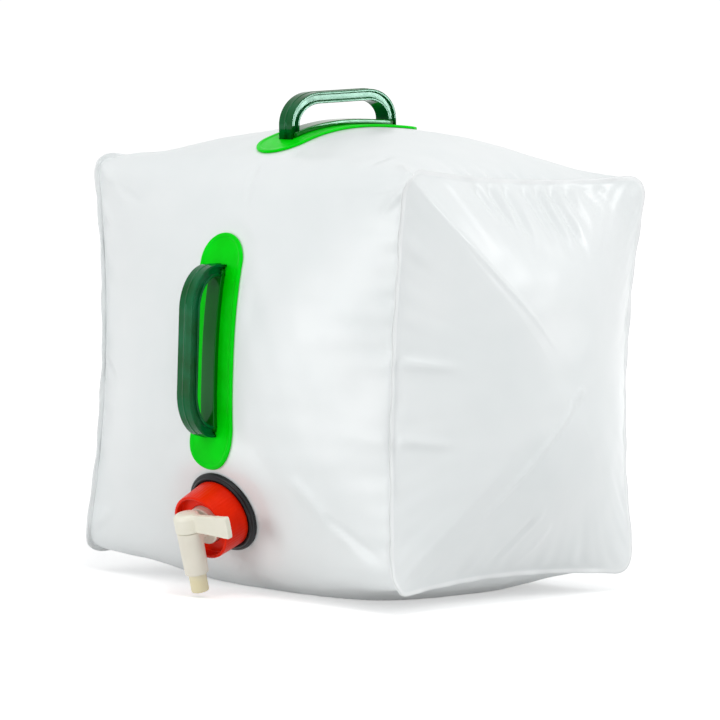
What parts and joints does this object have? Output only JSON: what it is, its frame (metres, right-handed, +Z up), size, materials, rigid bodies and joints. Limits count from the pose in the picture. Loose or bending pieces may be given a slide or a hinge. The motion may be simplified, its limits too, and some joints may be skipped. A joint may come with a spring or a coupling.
{
  "type": "collapsible water carrier",
  "caption": "Cube-shaped film water bag with welded carrying handles on top and front, and a lever tap on a screw cap low on the front.",
  "frame": {"origin": "middle of the flat patch of film that the bag rests on", "axes": "+Z up; -Y is the front, with a handle and the tap; +X is the side that the closed lever points to and the bag's longest way"},
  "size_m": [0.3732, 0.3302, 0.3488],
  "materials": {
    "film": "frosted translucent polyethylene film, satin",
    "plate_green": "translucent green polyethylene, satin",
    "grip_green": "translucent dark green, glossy",
    "black": "satin black",
    "rubber": "matte",
    "red": "satin red",
    "body_white": "translucent natural white",
    "ivory": "satin ivory"
  },
  "bodies": {
    "bag": {"body_band": "film", "top_handle_plate": "plate_green", "top_handle_grip": "grip_green", "front_handle_plate": "plate_green", "front_handle_grip": "grip_green", "neck_fitting": "black", "neck_gasket": "rubber", "clamp_ring": "black"},
    "right_side": {"right_side_panel": "film"},
    "left_side": {"left_side_panel": "film"},
    "tap": {"tap_body": "body_white", "cap_washer": "rubber"},
    "cap": {"screw_cap": "red"},
    "valve": {"valve_plug": "ivory"}
  },
  "joints": [
    {"name": "right_side_press", "type": "slide", "parent": "bag", "child": "right_side", "axis": [-1, 0, 0], "range_m": [0, 0.1], "deforming": ["body_band"]},
    {"name": "left_side_press", "type": "slide", "parent": "bag", "child": "left_side", "axis": [1, 0, 0], "range_m": [0, 0.1], "deforming": ["body_band"]},
    {"name": "cap_lift", "type": "slide", "parent": "bag", "child": "tap", "axis": [0, -0.9135, -0.4067], "range_m": [0, 0.00701]},
    {"name": "cap_turn", "type": "hinge", "parent": "tap", "child": "cap", "pos_m": [0, -0.1348, 0.05772], "axis": [0, -0.9135, -0.4067], "range_deg": [0, 630]},
    {"name": "lever_turn", "type": "hinge", "parent": "tap", "child": "valve", "pos_m": [0, -0.16778, 0.04304], "axis": [0, 0.284, -0.9588], "range_deg": [0, 90]}
  ],
  "couplings": [
    {"joint": "cap_lift", "follows": "cap_turn", "m_per_rad": 0.00063662},
    {"joint": "left_side_press", "follows": "right_side_press", "ratio": 1}
  ]
}
